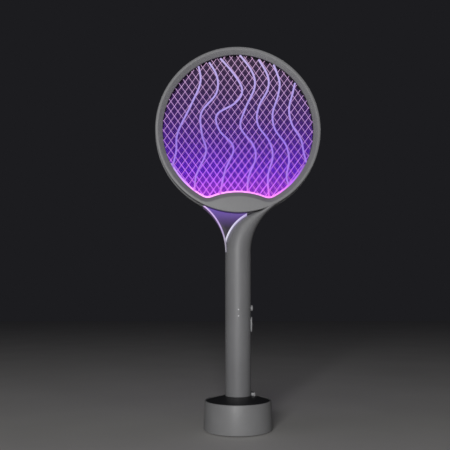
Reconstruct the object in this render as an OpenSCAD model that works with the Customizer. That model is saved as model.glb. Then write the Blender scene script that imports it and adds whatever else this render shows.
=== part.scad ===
/* [Head] */
// Outer radius of the front rim
head_r = 104.5; // [95:0.5:130]
// How far the rear shell's rim stands outside the front rim
head_step = 1; // [0.5:0.1:2]
// Width of the rim, from its outer edge to the grid opening
rim_w = 9; // [8:0.5:14]
// Depth of the front shell, from the middle of the head
front_depth = 12; // [11:0.5:16]
// Depth of the rear shell, from the middle of the head
rear_depth = 12; // [11:0.5:16]
// Where the two shells meet, in front of the middle of the head
split_y = 1; // [0.5:0.5:2]
// Width of the sloped lip round the opening
lip_w = 5.5; // [3:0.5:7]
// Depth of the sloped lip
lip_d = 3; // [2:0.25:3.5]
// Thickness of the shells' outer walls
rim_wall = 2; // [1.6:0.1:3]
// Thickness of the shells' faces behind the lip
face_wall = 1.5; // [1.2:0.1:2.5]
// Rounding of the front rim's outer edge
front_round = 1.2; // [0.5:0.1:2]
// Rounding of the rear rim's outer edge
rear_round = 4; // [2:0.5:5]

/* [Lower plate] */
// Height of the plate's hump above the bottom of the rim
plate_h = 26; // [22:1:34]
// Radius of the hump
hump_r = 92; // [70:1:110]
// Radius of the round corners beside the hump
lobe_r = 14; // [8:1:20]

/* [Grids] */
// Width of one diamond of the guard mesh
cell_w = 9; // [8:0.5:14]
// Height of one diamond of the guard mesh
cell_h = 12.4; // [10:0.4:20]
// Width of the mesh's lines
line_w = 0.8; // [0.6:0.1:1.4]
// Thickness of the mesh sheets
mesh_t = 0.8; // [0.5:0.1:1.2]
// Width of one diamond of the high voltage grid
grid_cell_w = 13.5; // [12:0.5:20]
// Height of one diamond of the high voltage grid
grid_cell_h = 18.6; // [16:0.6:28]
// Thickness of the high voltage grid
grid_t = 1.2; // [0.8:0.1:1.6]
// Air gap between the high voltage grid and each guard mesh
spark_gap = 2.5; // [2:0.1:4]
// Width of the moulded wave ribs
rib_w = 2.5; // [2:0.25:4]
// Thickness of the wave ribs
rib_t = 1.8; // [1.2:0.1:2.4]
// How wide the light guide shows along the opening's lower edge
glow_w = 2.4; // [1.5:0.1:4]
// Width of the hidden edge by which each sheet is held
edge_w = 1.8; // [1.2:0.1:2]

/* [Neck and handle] */
// Radius of the handle
handle_r = 16.5; // [14:0.5:21]
// Wall of the handle tube
handle_wall = 2; // [1.6:0.1:3]
// Length of the straight handle
handle_len = 184; // [175:1:230]
// Radius of the curve from the handle into the head
neck_r = 71; // [60:1:100]
// Wall of the neck shells
neck_wall = 1.8; // [1.4:0.1:1.9]
// Width of the light strips on the neck
strip_w = 2; // [1.6:0.1:4]
// Depth of the light strips at their lower tip, from the middle
strip_tip_d = 7.5; // [5:0.5:9]
// How far the light strips stand in front of the lamp lens
strip_rise = 1; // [0.5:0.1:1.5]

/* [Controls] */
// Height of the trigger button above the handle's end
button_z = 112; // [108:1:125]
// Radius of the trigger button
button_r = 3.8; // [3:0.1:5]
// How far the button stands out of the handle
button_rise = 2.6; // [2:0.1:3.5]
// Travel of the button
button_travel = 1.2; // [0.6:0.1:1.4]
// Height of the mode switch above the handle's end
slider_z = 91; // [89:1:100]
// Length of the mode switch's plate
bezel_len = 19.5; // [17:0.5:24]
// Width of the mode switch's plate
bezel_w = 8; // [7:0.5:10]
// How far the plate stands out of the handle
bezel_rise = 1.6; // [1:0.1:2.4]
// Travel of the mode slider each way from its middle position
slider_travel = 3; // [2:0.25:4]
// Heights of the two indicator lamps above the handle's end
lamp_z = [102.5, 110.5]; // [80:0.5:170]
// Radius of each indicator lamp
lamp_r = 0.9; // [0.6:0.1:1.5]

/* [Battery] */
// Radius of the round cell
cell_r = 9.2; // [7:0.1:10.5]
// Length of the round cell
cell_len = 65; // [50:1:66]

/* [Charging dock] */
// Radius of the dock at its top edge
dock_top_r = 42.5; // [36:0.5:52]
// How much wider the dock is at its foot
dock_flare = 1.5; // [0.5:0.25:4]
// Height of the dock's side
dock_h = 38.4; // [34:0.2:50]
// Wall of the dock's shell
dock_wall = 2.4; // [1.8:0.1:3.5]
// Rise of the dark cover from the dock's edge to the handle's seat
seat_rise = 5.4; // [3:0.2:8]
// Height of the spigot that the handle slips over
spigot_h = 14; // [10:0.5:20]
// Outer radius of the locating lug behind the handle
lug_r = 23; // [21:0.5:28]
// Height of the locating lug above the handle's seat
lug_h = 3.4; // [2:0.2:6]
// Thickness of the steel ballast
ballast_t = 8; // [4:0.5:11]
// Distance from the middle to each charging pin
pin_x = 5; // [3:0.5:8]
// Radius of each charging pin
pin_r = 1; // [0.7:0.1:1.5]
// Travel of the charging pins
pin_travel = 1; // [0.5:0.1:1.5]

/* [Fits] */
// Gap between parts that slide in each other
slide_gap = 0.25; // [0.15:0.05:0.4]
// Gap between parts that are assembled tight
fit_gap = 0.05; // [0.02:0.01:0.1]
// Gap under a part that rests on another
rest_gap = 0.05; // [0.02:0.01:0.1]

/* [Hidden] */

fine = 180;
medium = 90;
small = 32;
plastic = "#767676";
glow = "#c896ff";
violet = "#5a28b0";
dark = "#262626";
board_green = "#1d5b38";
bright_metal = "#c8ccd0";

// Heights, from the floor up
seat_z = dock_h + seat_rise;
handle_z = seat_z + rest_gap;
neck_z = handle_z + handle_len;
rim_r = head_r + head_step;
arc_x = handle_r + neck_r;
neck_rise = sqrt(pow(rim_r + neck_r, 2) - arc_x * arc_x);
head_z = neck_z + neck_rise;

// The opening: a circle, a hump and two round corners that touch both
open_r = head_r - rim_w;
hump_z = -(head_r - plate_h + hump_r);
lobe_z = (pow(hump_r + lobe_r, 2) - pow(open_r - lobe_r, 2) - hump_z * hump_z) / (-2 * hump_z);
lobe_x = sqrt(pow(open_r - lobe_r, 2) - lobe_z * lobe_z);

// Depths of the sheets in the head, counted from its middle plane
grid_y = grid_t / 2;
mesh_y = grid_y + spark_gap;
ribs_y = mesh_y + mesh_t;
front_in_y = front_depth - lip_d - face_wall;
rear_in_y = rear_depth - lip_d - face_wall;
rib_proud = 0.7;
edge_gap = 0.3;

// Screw posts round the rim, and one behind the plate
post_r = 2.2;
post_at = head_r - rim_wall - post_r + 0.2;
post_angles = [90, 40, -10, -50, 140, 190, 230];
plate_post_z = -(head_r - 7.5);
screw_r = 1;
screw_head_r = 1.9;
screw_sink = 1.6;

// The neck's arm: its inner edge is a circle that touches the handle's left side and the rim
arm_r = (handle_r * handle_r + neck_rise * neck_rise - rim_r * rim_r) / (2 * (rim_r + handle_r));
arm_x = arm_r - handle_r;
outer_sweep = atan2(neck_rise, arc_x);
inner_sweep = atan2(neck_rise, arm_x);
arm_sides = 32;
arm_steps = 16;
inner_share = 0.72;
// The lamp window stops where the fork has closed to a strip's width or less
lamp_top = neck_r * sin(outer_sweep) - 4.7;
lamp_fork = sqrt(2 * (strip_w + 0.45) / (1 / arm_r + 1 / rim_r));
lamp_side = arm_x - arm_r * cos(inner_sweep) - lamp_fork * sin(inner_sweep);
lens_gap = 1.2;
bury = 7;

// Places along the handle
tube_in_r = handle_r - handle_wall;
cap_wall = 1.6;
cap_in_r = tube_in_r - fit_gap - cap_wall;
socket_d = spigot_h + 2;
cap_floor = 2.4;
cell_z = handle_z + socket_d + cap_floor + 1.6;
board_y = 2;
board_t = 1.6;
board_z = cell_z + cell_len + 2.4;
board_top = neck_z - 10;
board_half_w = tube_in_r - 4;
bezel_r = handle_r + bezel_rise;
flange_w = 1;
flange_t = 0.8;
flange_x = sqrt(pow(tube_in_r, 2) - pow(button_r + flange_w, 2)) - slide_gap;
stem_w = 2;
stem_h = 2.4;

// The dock
dock_r = dock_top_r + dock_flare;
foot_h = 1.2;
foot_r = dock_top_r - dock_wall - 1.2;
foot_w = 5;
base_t = 2.4;
cover_t = 2;
cover_edge_z = dock_h - 0.8;
cover_r = dock_top_r - dock_wall + 0.8;
shelf_w = 1.4;
spigot_r = cap_in_r - slide_gap - 0.15;
spigot_wall = 2;
pin_top = handle_z + socket_d - rest_gap;
pin_shoulder = 0.7;
carrier_top = seat_z + spigot_h;
pin_flange_z = carrier_top - spigot_wall - 1.2;
spring_len = 8 + pin_travel;
spring_r = pin_r + 0.3;
spring_wire = 0.22;
spring_turns = 6;
usb_w = 9;
usb_h = 3.3;
dock_board_z = foot_h + base_t + ballast_t + 0.8;
usb_z = dock_board_z + board_t + usb_h / 2;
ballast_r = dock_top_r - dock_wall - 7.1;
dock_posts = [for (a = [45 : 90 : 315]) [cos(a), sin(a)] * (dock_top_r - 8)];

function unit(v) = v / norm(v);
function ease(t) = t * t * (3 - 2 * t);
function mix(a, b, t) = a + (b - a) * t;
function signed_pow(v, p) = sign(v) * pow(abs(v), p);

// ---- shapes drawn in the head's plane, centred on the head ----

// Puts a flat shape upright between two depths, front side first
module upright(y0, y1) {
    translate([0, y1, head_z]) rotate([90, 0, 0]) linear_extrude(height = y1 - y0) children();
}

// Points along an arc, without its last one
function arc(at, r, a0, a1, step) =
    let (n = ceil(abs(a1 - a0) / step))
    [for (i = [0 : n - 1]) at + r * [cos(mix(a0, a1, i / n)), sin(mix(a0, a1, i / n))]];

// The opening's outline, moved outwards by off: round edge, left corner, hump, right corner
function outline(off) =
    let (
        a = atan2(lobe_z, lobe_x),
        b = atan2(hump_z - lobe_z, lobe_x)
    )
    concat(
        arc([0, 0], open_r + off, a, 180 - a, 3),
        arc([-lobe_x, lobe_z], lobe_r + off, 180 - a, 360 + b, 9),
        arc([0, hump_z], hump_r - off, 180 + b, -b, 3),
        arc([lobe_x, lobe_z], lobe_r + off, 180 - b, 360 + a, 9)
    );

module opening(off = 0) {
    polygon(outline(off));
}

// The opening as a cut that is straight from the back to the lip, and widens through the lip
module opening_cut(back, lip, front, widening) {
    skin([for (ring = [[back, 0], [lip, 0], [front, widening]])
        [for (p = outline(ring[1])) [p[0], ring[0], head_z + p[1]]]
    ]);
}

// A band along the opening's edge
module edge_band(off0, off1) {
    difference() {
        opening(off1);
        opening(off0);
    }
}

// A field of diamond holes with straight lines left between them
module diamonds(w, h, line) {
    nx = ceil(open_r / w) + 1;
    nz = ceil(open_r / h) + 1;
    share = line / 2 * sqrt(1 / (w * w) + 1 / (h * h));
    a = w / 2 * (1 - 2 * share);
    b = h / 2 * (1 - 2 * share);
    for (i = [-nx : nx]) for (j = [-nz : nz]) for (s = [0, 0.5]) {
        at = [(i + s) * w, (j + s) * h];
        if (norm(at) < open_r + h)
            translate(at) polygon([[a, 0], [0, b], [-a, 0], [0, -b]]);
    }
}

// A sheet of diamond mesh with a plain edge that the spacers hold
module diamond_sheet(w, h, line) {
    difference() {
        opening(edge_w);
        intersection() {
            opening(edge_gap);
            diamonds(w, h, line);
        }
    }
}

// A smooth curve through points, as a list of closer points
function curve_point(p, i, t) =
    let (a = p[max(i - 1, 0)], b = p[i], c = p[i + 1], d = p[min(i + 2, len(p) - 1)])
    0.5 * (2 * b + (c - a) * t + (2 * a - 5 * b + 4 * c - d) * t * t + (3 * b - a - 3 * c + d) * t * t * t);
function curve(p, steps) = concat(
    [for (i = [0 : len(p) - 2]) for (k = [0 : steps - 1]) curve_point(p, i, k / steps)],
    [p[len(p) - 1]]
);
function tangent(p, i) = unit(p[min(i + 1, len(p) - 1)] - p[max(i - 1, 0)]);
function side(p, i, w) = let (t = tangent(p, i)) p[i] + w * [-t[1], t[0]];

// A rib of even width along a smooth curve
module rib(points, w) {
    p = curve(points, 5);
    n = len(p) - 1;
    polygon(concat(
        [for (i = [0 : n]) side(p, i, w / 2)],
        [for (i = [n : -1 : 0]) side(p, i, -w / 2)]
    ));
}

// The wave ribs, from the top edge of the opening down to its lower edge
rib_paths = [
    [[-53, 90], [-48, 62], [-60, 32], [-77, -4], [-79, -28], [-86, -56]],
    [[-46, 98], [-28, 71], [-28, 47], [-47, 22], [-46, -6], [-41, -28], [-54, -60], [-55, -90]],
    [[-36, 105], [-8, 75], [5, 52], [-4, 35], [-27, 20], [-24, 0], [-6, -22], [-17, -52], [-24, -86]],
    [[-6, 105], [16, 78], [21, 56], [9, 28], [3, 4], [19, -18], [22, -36], [13, -60], [12, -86]],
    [[16, 105], [36, 74], [38, 54], [26, 30], [25, 8], [40, -14], [44, -34], [38, -58], [40, -92]],
    [[38, 100], [52, 66], [51, 46], [44, 22], [47, 2], [61, -18], [65, -38], [62, -60], [70, -80]],
    [[76, 76], [70, 50], [65, 28], [69, 8], [80, -10], [84, -28], [90, -50]]
];

module ribs_2d(off) {
    intersection() {
        opening(off);
        union() {
            for (path = rib_paths) rib(path * (open_r / 96), rib_w);
        }
    }
}

// ---- the head ----

// A disc with a rounded outer edge, its flat face at depth, its open side at inner
module rim_disc(r, depth, inner, round_r) {
    rotate([90, 0, 0]) rotate_extrude($fn = fine) difference() {
        translate([0, inner]) square([r, depth - inner]);
        translate([r - round_r, depth - round_r]) difference() {
            square(round_r + 1);
            circle(r = round_r, $fn = small);
        }
    }
}

module at_posts() {
    for (a = post_angles) translate(post_at * [cos(a), 0, sin(a)]) children();
    translate([0, 0, plate_post_z]) children();
}

// One half of the head, its face towards -Y
module head_half(r, depth, inner, in_y, round_r) {
    translate([0, 0, head_z]) difference() {
        union() {
            difference() {
                rim_disc(r, depth, inner, round_r);
                rotate([90, 0, 0]) translate([0, 0, inner - 1])
                    cylinder(h = in_y - inner + 1, r = r - rim_wall, $fn = fine);
            }
            at_posts() rotate([90, 0, 0]) translate([0, 0, inner])
                cylinder(h = in_y - inner + 0.5, r = post_r, $fn = small);
        }
        translate([0, 0, -head_z]) opening_cut(-inner + 1, -depth + lip_d, -depth - lip_d, 2 * lip_w);
    }
}

// Passages for the wires and for the neck's light
module neck_slots() {
    for (a = [-95, lead_a]) translate([0, 0, head_z]) rotate([0, -a, 0])
        translate([rim_r - 6, -4, -5]) cube([13, 8, 10]);
}

module front_frame() {
    color(plastic) difference() {
        head_half(head_r, front_depth, split_y, front_in_y, front_round);
        neck_slots();
        translate([0, 0, head_z]) at_posts() rotate([90, 0, 0])
            translate([0, 0, split_y - 1]) cylinder(h = 6, r = 0.75, $fn = small);
    }
}

module rear_frame() {
    color(plastic) difference() {
        mirror([0, 1, 0]) head_half(rim_r, rear_depth, -split_y, rear_in_y, rear_round);
        neck_slots();
        translate([0, 0, head_z]) at_posts() rotate([-90, 0, 0]) {
            translate([0, 0, -split_y - 1]) cylinder(h = rear_depth + 5, r = screw_r + 0.1, $fn = small);
            translate([0, 0, rear_depth - screw_sink]) cylinder(h = 5, r = screw_head_r + 0.2, $fn = small);
        }
    }
}

// The wave ribs with the thin ring by which they are held
module front_ribs() {
    color(glow) {
        upright(-front_in_y, -ribs_y) edge_band(edge_gap, edge_w);
        upright(-front_in_y, -front_in_y + rib_t - rib_proud) ribs_2d(edge_gap + 0.4);
        upright(-front_in_y - rib_proud, -front_in_y + 0.1) ribs_2d(-0.1);
    }
}

// The ring that presses the rear guard mesh against its spacer
module rear_clamp_ring() {
    color(dark) upright(ribs_y, rear_in_y) edge_band(edge_gap, edge_w);
}

module front_guard_mesh() {
    color(glow) upright(-ribs_y, -mesh_y) diamond_sheet(cell_w, cell_h, line_w);
}

module rear_guard_mesh() {
    color(glow) upright(mesh_y, ribs_y) diamond_sheet(cell_w, cell_h, line_w);
}

module front_spacer() {
    color(dark) upright(-mesh_y, -grid_y) edge_band(edge_gap, edge_w);
}

module rear_spacer() {
    color(dark) upright(grid_y, mesh_y) edge_band(edge_gap, edge_w);
}

module high_voltage_grid() {
    color(bright_metal) upright(-grid_y, grid_y) diamond_sheet(grid_cell_w, grid_cell_h, line_w);
}

// A clear strip along the lower edge of the opening, lit from below
module light_guide() {
    guide_back = ribs_y + fit_gap;
    guide_front = front_in_y + rib_proud - rib_t - fit_gap;
    color("#ff6aff") upright(-guide_front, -guide_back) intersection() {
        edge_band(-glow_w, edge_gap - fit_gap);
        translate([-head_r, -1.5 * head_r]) square([2 * head_r, 1.1 * head_r]);
    }
}

board_gap = edge_w + 2.6;

module head_led_board() {
    color(board_green) difference() {
        upright(-3, -1.4) intersection() {
            translate([0, hump_z]) circle(r = hump_r - board_gap, $fn = fine);
            circle(r = head_r - rim_wall - 1, $fn = fine);
        }
        translate([0, 0, head_z + plate_post_z]) rotate([90, 0, 0])
            translate([0, 0, -20]) cylinder(h = 40, r = post_r + 0.3, $fn = small);
    }
}

module head_uv_leds() {
    color("#ece8ff") for (i = [-4 : 4]) translate([0, 0, head_z + hump_z]) rotate([0, i * 5, 0])
        translate([-1.75, -4.6, hump_r - board_gap - 3.4]) cube([3.5, 1.6, 2.8]);
}

module head_screws() {
    color(bright_metal) translate([0, 0, head_z]) at_posts() rotate([90, 0, 0]) difference() {
        union() {
            translate([0, 0, -rear_depth + screw_sink])
                cylinder(h = rear_depth - screw_sink + 4, r = 0.75, $fn = small);
            translate([0, 0, -rear_depth + 0.3])
                cylinder(h = screw_sink - 0.3, r = screw_head_r, $fn = small);
        }
        translate([-1.4, -0.25, -rear_depth]) cube([2.8, 0.5, 0.9]);
        translate([-0.25, -1.4, -rear_depth]) cube([0.5, 2.8, 0.9]);
    }
}

// ---- the neck ----

// Everything that the head takes up, for cutting what meets it
module head_envelope(gap = 0) {
    translate([0, 0, head_z]) rotate([90, 0, 0]) {
        translate([0, 0, split_y])
            cylinder(h = front_depth - split_y + 10, r = head_r + gap, $fn = fine);
        translate([0, 0, -rear_depth - 10])
            cylinder(h = rear_depth + split_y + 10, r = rim_r + gap, $fn = fine);
    }
}

// A flat shape above the handle's end, upright between two depths
module upright_neck(d) {
    translate([0, d, neck_z]) rotate([90, 0, 0]) linear_extrude(height = 2 * d) children();
}

// Points of the arm's two edges, from the handle (0) to where the arm runs out in the rim (1)
function outer_edge(s) = [arc_x, 0] + neck_r * [-cos(outer_sweep * s), sin(outer_sweep * s)];
function inner_edge(s) = s < inner_share
    ? let (a = inner_sweep * s / inner_share) [arm_x, 0] + arm_r * [-cos(a), sin(a)]
    : let (
        t = (s - inner_share) / (1 - inner_share),
        a = mix(inner_sweep, outer_sweep, t),
        r = rim_r - bury * ease(t)
    ) [0, neck_rise] + r * [cos(a), -sin(a)];

// A point of the arm's wall: round at the handle, squarer and as deep as the head at the rim
function arm_point(s, a, wall) =
    let (
        e0 = inner_edge(s),
        e1 = outer_edge(s),
        mid = (e0 + e1) / 2,
        half = max(norm(e1 - e0) / 2 - wall, 0.5),
        dir = unit(e1 - e0),
        depth = mix(handle_r, front_depth, ease(min(s / 0.8, 1))) - wall,
        p = mix(1, 0.6, ease(s)),
        u = half * signed_pow(cos(a), p)
    )
    [mid[0] + dir[0] * u, depth * signed_pow(sin(a), p), neck_z + mid[1] + dir[1] * u];

// One ring of the arm's front half: its outer wall one way and its inner wall back
function arm_ring(s) = concat(
    [for (k = [0 : arm_sides / 2]) arm_point(s, 180 + 360 * k / arm_sides, 0)],
    [for (k = [arm_sides / 2 : -1 : 0]) arm_point(s, 180 + 360 * k / arm_sides, neck_wall)]
);

// A closed skin over rings of points
module skin(rings) {
    n = len(rings[0]);
    m = len(rings) - 1;
    sides = [for (i = [0 : m - 1]) for (k = [0 : n - 1])
        let (a = i * n + k, b = i * n + (k + 1) % n)
        each [[a, a + n, b], [b, a + n, b + n]]
    ];
    caps = [[for (k = [0 : n - 1]) k], [for (k = [n - 1 : -1 : 0]) m * n + k]];
    polyhedron(points = [for (r = rings) each r], faces = concat(sides, caps), convexity = 6);
}

// The front half of the arm
module arm_half() {
    skin([for (i = [0 : arm_steps]) arm_ring(i / arm_steps)]);
}

// What is left of a half arm beside the head and the left strip; resize keeps it one faceted skin
module trimmed_arm() {
    resize([0, 0, 0]) difference() {
        children();
        head_envelope(fit_gap);
        left_strip_shape(fit_gap);
        neck_slots();
    }
}

module neck_front_shell() {
    color(plastic) trimmed_arm() arm_half();
}

module neck_rear_shell() {
    color(plastic) trimmed_arm() mirror([0, 1, 0]) arm_half();
}

// Room for the left strip's tip, in the handle's end and in the collar
module tip_notch() {
    reach = strip_tip_d + 0.4;
    translate([-2 * handle_r, -reach, neck_z - 1.5 - fit_gap])
        cube([handle_r + strip_w + fit_gap, 2 * reach, 10]);
}

module neck_collar() {
    color(dark) difference() {
        union() {
            translate([0, 0, neck_z - 9]) cylinder(h = 9, r = tube_in_r - fit_gap, $fn = medium);
            translate([0, 0, neck_z - 1]) cylinder(h = 4, r = tube_in_r - 0.4, $fn = medium);
        }
        translate([0, 0, neck_z - 10]) cylinder(h = 20, r = tube_in_r - 2, $fn = medium);
        tip_notch();
    }
}

// The lamp window between the left edge of the neck and the arm, measured from the handle's end
module funnel_2d(inset) {
    difference() {
        translate([-rim_r, 0]) square([rim_r + lamp_side, neck_rise]);
        translate([-arc_x, 0]) circle(r = neck_r + inset, $fn = fine);
        translate([arm_x, 0]) circle(r = arm_r + inset, $fn = fine);
        translate([-rim_r - 1, lamp_top]) square([rim_r - arc_x * 0.55, neck_rise]);
    }
}

// The lamp is thin at its tip and nearly as deep as the head at its top
module lamp_depth(more) {
    tip = strip_tip_d - strip_rise + more;
    top = front_depth - 2 + more;
    rotate([90, 0, 90]) translate([0, 0, -rim_r]) linear_extrude(height = 2 * rim_r)
        polygon([[-tip, neck_z - 3], [tip, neck_z - 3], [top, neck_z + lamp_top + 3], [-top, neck_z + lamp_top + 3]]);
}

// The band along the left edge of the neck, down to its tip beside the handle
module left_strip_shape(more = 0) {
    difference() {
        intersection() {
            lamp_depth(strip_rise + more);
            upright_neck(front_depth) union() {
                intersection() {
                    funnel_left();
                    translate([-arc_x, 0]) circle(r = neck_r + strip_w + more, $fn = fine);
                }
                translate([-handle_r - more, -1.5]) square([strip_w + 2 * more, 2]);
            }
        }
        head_envelope();
    }
}

// Everything to the right of the neck's left edge, up to the rim
module funnel_left() {
    difference() {
        translate([-arc_x, 0]) square([arc_x - 2, lamp_top]);
        translate([-arc_x, 0]) circle(r = neck_r, $fn = fine);
    }
}

module left_light_strip() {
    color(glow) left_strip_shape();
}

module right_light_strip() {
    color(glow) difference() {
        intersection() {
            lamp_depth(strip_rise);
            upright_neck(front_depth) difference() {
                funnel_2d(0);
                translate([-arc_x, 0]) circle(r = neck_r + strip_w, $fn = fine);
                difference() {
                    square(4 * rim_r, center = true);
                    translate([arm_x, 0]) circle(r = arm_r + strip_w, $fn = fine);
                }
            }
        }
        head_envelope();
    }
}

module neck_light_lens() {
    color(violet) difference() {
        intersection() {
            lamp_depth(0);
            upright_neck(front_depth) funnel_2d(strip_w);
        }
        head_envelope(lens_gap);
        upright_neck(1) neck_board_2d(0.2);
    }
}

// The lamp board hangs in a pocket in the top of the lens
module neck_board_2d(gap) {
    intersection() {
        funnel_2d(strip_w + 1.5 - gap);
        translate([-rim_r, 34 - gap]) square([2 * rim_r, rim_r]);
    }
}

module neck_led_board() {
    color(board_green) difference() {
        upright_neck(0.8) neck_board_2d(0);
        head_envelope(0.2);
    }
}

// ---- wires ----

// A tube along points in space
function ring_at(p, i, r, n) =
    let (
        t = unit(p[min(i + 1, len(p) - 1)] - p[max(i - 1, 0)]),
        u = unit(cross(t, [0, 1, 0])),
        v = cross(t, u)
    )
    [for (k = [0 : n - 1]) p[i] + r * (cos(360 * k / n) * u + sin(360 * k / n) * v)];

module wire(p, r) {
    skin([for (i = [0 : len(p) - 1]) ring_at(p, i, r, 8)]);
}

lead_r = 0.8;
lead_steps = 10;
lead_share = 0.62;
function arm_mid(s) = (inner_edge(s) + outer_edge(s)) / 2;
// Direction, from the head's centre, in which the leads enter the rim
lead_a = atan2(arm_mid(lead_share)[1] - neck_rise, arm_mid(lead_share)[0]);

// A lead rises from the board, follows the arm and ends behind the lower plate
function lead_path(x) = concat(
    [[x, board_y + board_t / 2, board_top + 0.2]],
    [[x, board_y, board_top + 5]],
    [for (i = [1 : lead_steps])
        let (s = lead_share * i / lead_steps, at = arm_mid(s) + unit(outer_edge(s) - inner_edge(s)) * x)
        [at[0], 0, neck_z + at[1]]
    ],
    [let (r = rim_r - rim_wall - 3)
        [r * cos(lead_a) - x * sin(lead_a) * 0.8, 0, head_z + r * sin(lead_a) + x * cos(lead_a) * 0.8]]
);

module high_voltage_leads() {
    color("#a02020") for (x = [-2.4, 2.4]) wire(lead_path(x), lead_r);
}

// ---- the handle ----

// A plate shape with round ends, standing out of the handle towards +X
module side_slot(len, w, x0, x1, z) {
    translate([x0, 0, handle_z + z]) rotate([90, 0, 90]) linear_extrude(height = x1 - x0) union() {
        square([w, len - w], center = true);
        for (s = [-1, 1]) translate([0, s * (len - w) / 2]) circle(d = w, $fn = medium);
    }
}

module side_rod(r, x0, x1, z) {
    translate([x0, 0, handle_z + z]) rotate([0, 90, 0]) cylinder(h = x1 - x0, r = r, $fn = medium);
}

module handle_tube() {
    edge = 0.6;
    color(plastic) difference() {
        translate([0, 0, handle_z]) union() {
            cylinder(h = edge, r1 = handle_r - edge, r2 = handle_r, $fn = fine);
            translate([0, 0, edge]) cylinder(h = handle_len - edge, r = handle_r, $fn = fine);
        }
        translate([0, 0, handle_z - 1]) cylinder(h = handle_len + 2, r = tube_in_r, $fn = fine);
        side_rod(button_r + slide_gap, 0, 2 * handle_r, button_z);
        side_slot(bezel_len + 2 * fit_gap, bezel_w + 2 * fit_gap, 0, 2 * handle_r, slider_z);
        for (z = lamp_z) translate([0, 0, handle_z + z]) rotate([90, 0, 0])
            cylinder(h = 2 * handle_r, r = lamp_r + fit_gap, $fn = small);
        tip_notch();
    }
}

module handle_end_cap() {
    color(dark) translate([0, 0, handle_z]) difference() {
        translate([0, 0, 0.6])
            cylinder(h = socket_d + cap_floor - 0.6, r = tube_in_r - fit_gap, $fn = fine);
        translate([0, 0, -1]) cylinder(h = socket_d + 1, r = cap_in_r, $fn = fine);
        for (s = [-1, 1]) translate([s * pin_x, 0, 0])
            cylinder(h = socket_d + cap_floor + 1, r = 2 * pin_r + fit_gap, $fn = small);
    }
}

module contact_pads() {
    color("#c9a24a") for (s = [-1, 1]) translate([s * pin_x, 0, handle_z + socket_d])
        cylinder(h = cap_floor, r = 2 * pin_r, $fn = small);
}

module battery_cell() {
    color("#2f5f9e") translate([0, 0, cell_z]) union() {
        cylinder(h = cell_len - 1.2, r = cell_r, $fn = medium);
        cylinder(h = cell_len, r = cell_r / 3, $fn = medium);
    }
}

module battery_contacts() {
    color(bright_metal) for (z = [cell_z - 0.5, cell_z + cell_len]) translate([0, 0, z])
        cylinder(h = 0.5, r = cell_r / 2, $fn = small);
}

module main_board() {
    color(board_green) translate([-board_half_w, board_y, board_z])
        cube([2 * board_half_w, board_t, board_top - board_z]);
}

module transformer() {
    top = board_top - 28;
    color("#b8862b") translate([0, board_y - 11, top - 20]) union() {
        translate([-8, 0, 0]) cube([16, 11, 4]);
        translate([-6.5, 1, 4]) cube([13, 9, 12]);
        translate([-8, 0, 16]) cube([16, 11, 4]);
    }
}

module storage_capacitor() {
    color("#7a2a20") translate([0, board_y - 5, board_top - 24]) cylinder(h = 19, r = 5, $fn = medium);
}

module button_switch() {
    face = flange_x - flange_t - button_travel - slide_gap;
    color(dark) union() {
        translate([face - 3.4, board_y - 6, handle_z + button_z - 3]) cube([2.9, 6, 6]);
        side_rod(1.2, face - 1, face, button_z);
    }
}

module slide_switch() {
    color(bright_metal) translate([tube_in_r - 5.4, board_y - 4, handle_z + slider_z - 5.5])
        cube([3.2, 4, 11]);
}

module switch_bezel() {
    slot_l = stem_h + 2 * (slider_travel + slide_gap);
    slot_w = stem_w + 2 * slide_gap;
    color(plastic) difference() {
        intersection() {
            side_slot(bezel_len, bezel_w, 0, 2 * handle_r, slider_z);
            translate([0, 0, handle_z]) cylinder(h = handle_len, r = bezel_r, $fn = fine);
        }
        translate([0, 0, handle_z - 1]) cylinder(h = handle_len, r = tube_in_r, $fn = fine);
        translate([0, -slot_w / 2, handle_z + slider_z - slot_l / 2]) cube([2 * handle_r, slot_w, slot_l]);
    }
}

module mode_slider() {
    pad_x = bezel_r + slide_gap;
    color(dark) union() {
        translate([tube_in_r - 1.9, -stem_w / 2, handle_z + slider_z - stem_h / 2])
            cube([pad_x - tube_in_r + 2, stem_w, stem_h]);
        translate([pad_x, -2.2, handle_z + slider_z - 2]) cube([1.1, 4.4, 4]);
    }
}

// Its face is slightly domed
module trigger_button() {
    tip = handle_r + button_rise;
    back = flange_x - flange_t;
    dome = 9;
    color(plastic) translate([0, 0, handle_z + button_z]) rotate([0, 90, 0]) rotate_extrude($fn = medium) {
        intersection() {
            translate([0, back]) square([button_r, tip - back]);
            translate([0, tip - dome]) circle(r = dome, $fn = fine);
        }
        translate([0, back]) square([button_r + flange_w, flange_t]);
    }
}

module indicator_light_pipes() {
    color("#d8d8d8") for (z = lamp_z) translate([0, board_y - 1.4, handle_z + z]) rotate([90, 0, 0])
        cylinder(h = handle_r + board_y - 1.4 + 0.05, r = lamp_r, $fn = small);
}

module indicator_leds() {
    color("#e8e0c0") for (z = lamp_z) translate([-1, board_y - 1.4, handle_z + z - 0.8])
        cube([2, 1.4, 1.6]);
}

// ---- the dock ----

module dock_shell() {
    inner_top = dock_top_r - dock_wall;
    color("#808080") difference() {
        translate([0, 0, foot_h]) cylinder(h = dock_h - foot_h, r1 = dock_r, r2 = dock_top_r, $fn = fine);
        translate([0, 0, foot_h - 1]) cylinder(h = dock_h, r = inner_top - shelf_w, $fn = fine);
        translate([0, 0, foot_h - 1])
            cylinder(h = cover_edge_z - cover_t - shelf_w, r = inner_top, $fn = fine);
        translate([0, 0, cover_edge_z - cover_t]) cylinder(h = dock_h, r = cover_r, $fn = fine);
        translate([-usb_w / 2 - 0.5, 0, usb_z - usb_h / 2 - 0.5]) cube([usb_w + 1, 2 * dock_r, usb_h + 1]);
    }
}

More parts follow.
